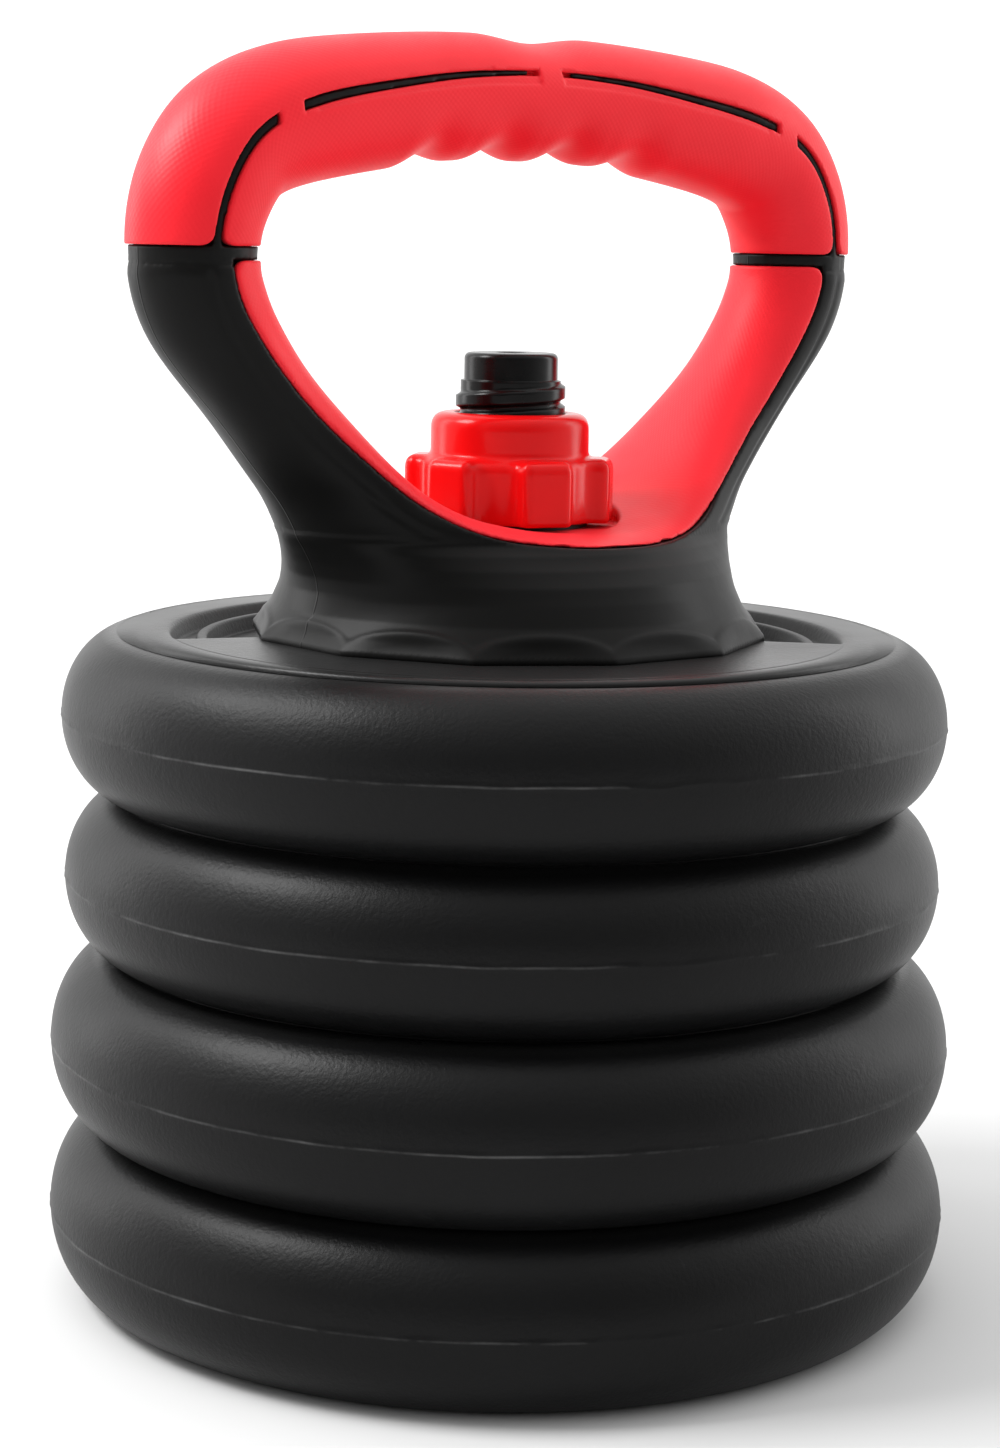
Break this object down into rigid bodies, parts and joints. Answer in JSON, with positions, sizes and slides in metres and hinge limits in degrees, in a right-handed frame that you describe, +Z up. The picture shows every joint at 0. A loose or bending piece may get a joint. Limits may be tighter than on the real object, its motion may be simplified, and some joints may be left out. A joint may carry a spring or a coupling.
{
  "type": "adjustable kettlebell",
  "caption": "Free-standing kettlebell: looped grip on a stack of round plates, clamped by a star nut on a central threaded rod.",
  "frame": {"origin": "on the floor, on the rod's axis, under the middle of the bottom plate", "axes": "+Z up along the rod, +X along the width of the handle, +Y across the grip; the right-handed set"},
  "size_m": [0.2344, 0.2344, 0.322],
  "materials": {
    "plate_plastic": "fine leather-like grain, satin black",
    "cement": "cast cement, sealed inside the shell",
    "plug_plastic": "smooth black cap",
    "rod_plastic": "glossy black moulding",
    "tube_steel": "drawn tube",
    "nut_plastic": "glossy red moulding",
    "washer_rubber": "black rubber",
    "casing_plastic": "smooth satin black",
    "soft_red": "soft red thermoplastic rubber with a fine dimpled grain"
  },
  "bodies": {
    "base": {"plate_1_shell": "plate_plastic", "plate_1_cement_fill": "cement", "plate_1_filler_plug": "plug_plastic", "threaded_rod": "rod_plastic", "rod_steel_tube": "tube_steel", "rod_end_plug": "plug_plastic"},
    "plate_2": {"plate_2_shell": "plate_plastic", "plate_2_cement_fill": "cement", "plate_2_filler_plug": "plug_plastic"},
    "plate_3": {"plate_3_shell": "plate_plastic", "plate_3_cement_fill": "cement", "plate_3_filler_plug": "plug_plastic"},
    "plate_4": {"plate_4_shell": "plate_plastic", "plate_4_cement_fill": "cement", "plate_4_filler_plug": "plug_plastic"},
    "handle": {"handle_casing": "casing_plastic", "grip_skin": "soft_red", "saddle_panel": "soft_red"},
    "washer": {"nut_washer": "washer_rubber"},
    "nut": {"star_nut": "nut_plastic"}
  },
  "joints": [
    {"name": "plate_2_lift", "type": "slide", "parent": "base", "child": "plate_2", "axis": [0, 0, 1], "range_m": [0, 0.198]},
    {"name": "plate_3_lift", "type": "slide", "parent": "plate_2", "child": "plate_3", "axis": [0, 0, 1], "range_m": [0, 0.154]},
    {"name": "plate_4_lift", "type": "slide", "parent": "plate_3", "child": "plate_4", "axis": [0, 0, 1], "range_m": [0, 0.113]},
    {"name": "handle_lift", "type": "slide", "parent": "plate_4", "child": "handle", "axis": [0, 0, 1], "range_m": [0, 0.073]},
    {"name": "nut_travel", "type": "slide", "parent": "handle", "child": "washer", "axis": [0, 0, 1], "range_m": [0, 0.044]},
    {"name": "nut_turn", "type": "hinge", "parent": "washer", "child": "nut", "pos_m": [0, 0, 0.21], "axis": [0, 0, 1], "range_deg": [0, 3170]}
  ],
  "couplings": [
    {"joint": "nut_turn", "follows": "nut_travel", "rad_per_m": 1256.6}
  ]
}
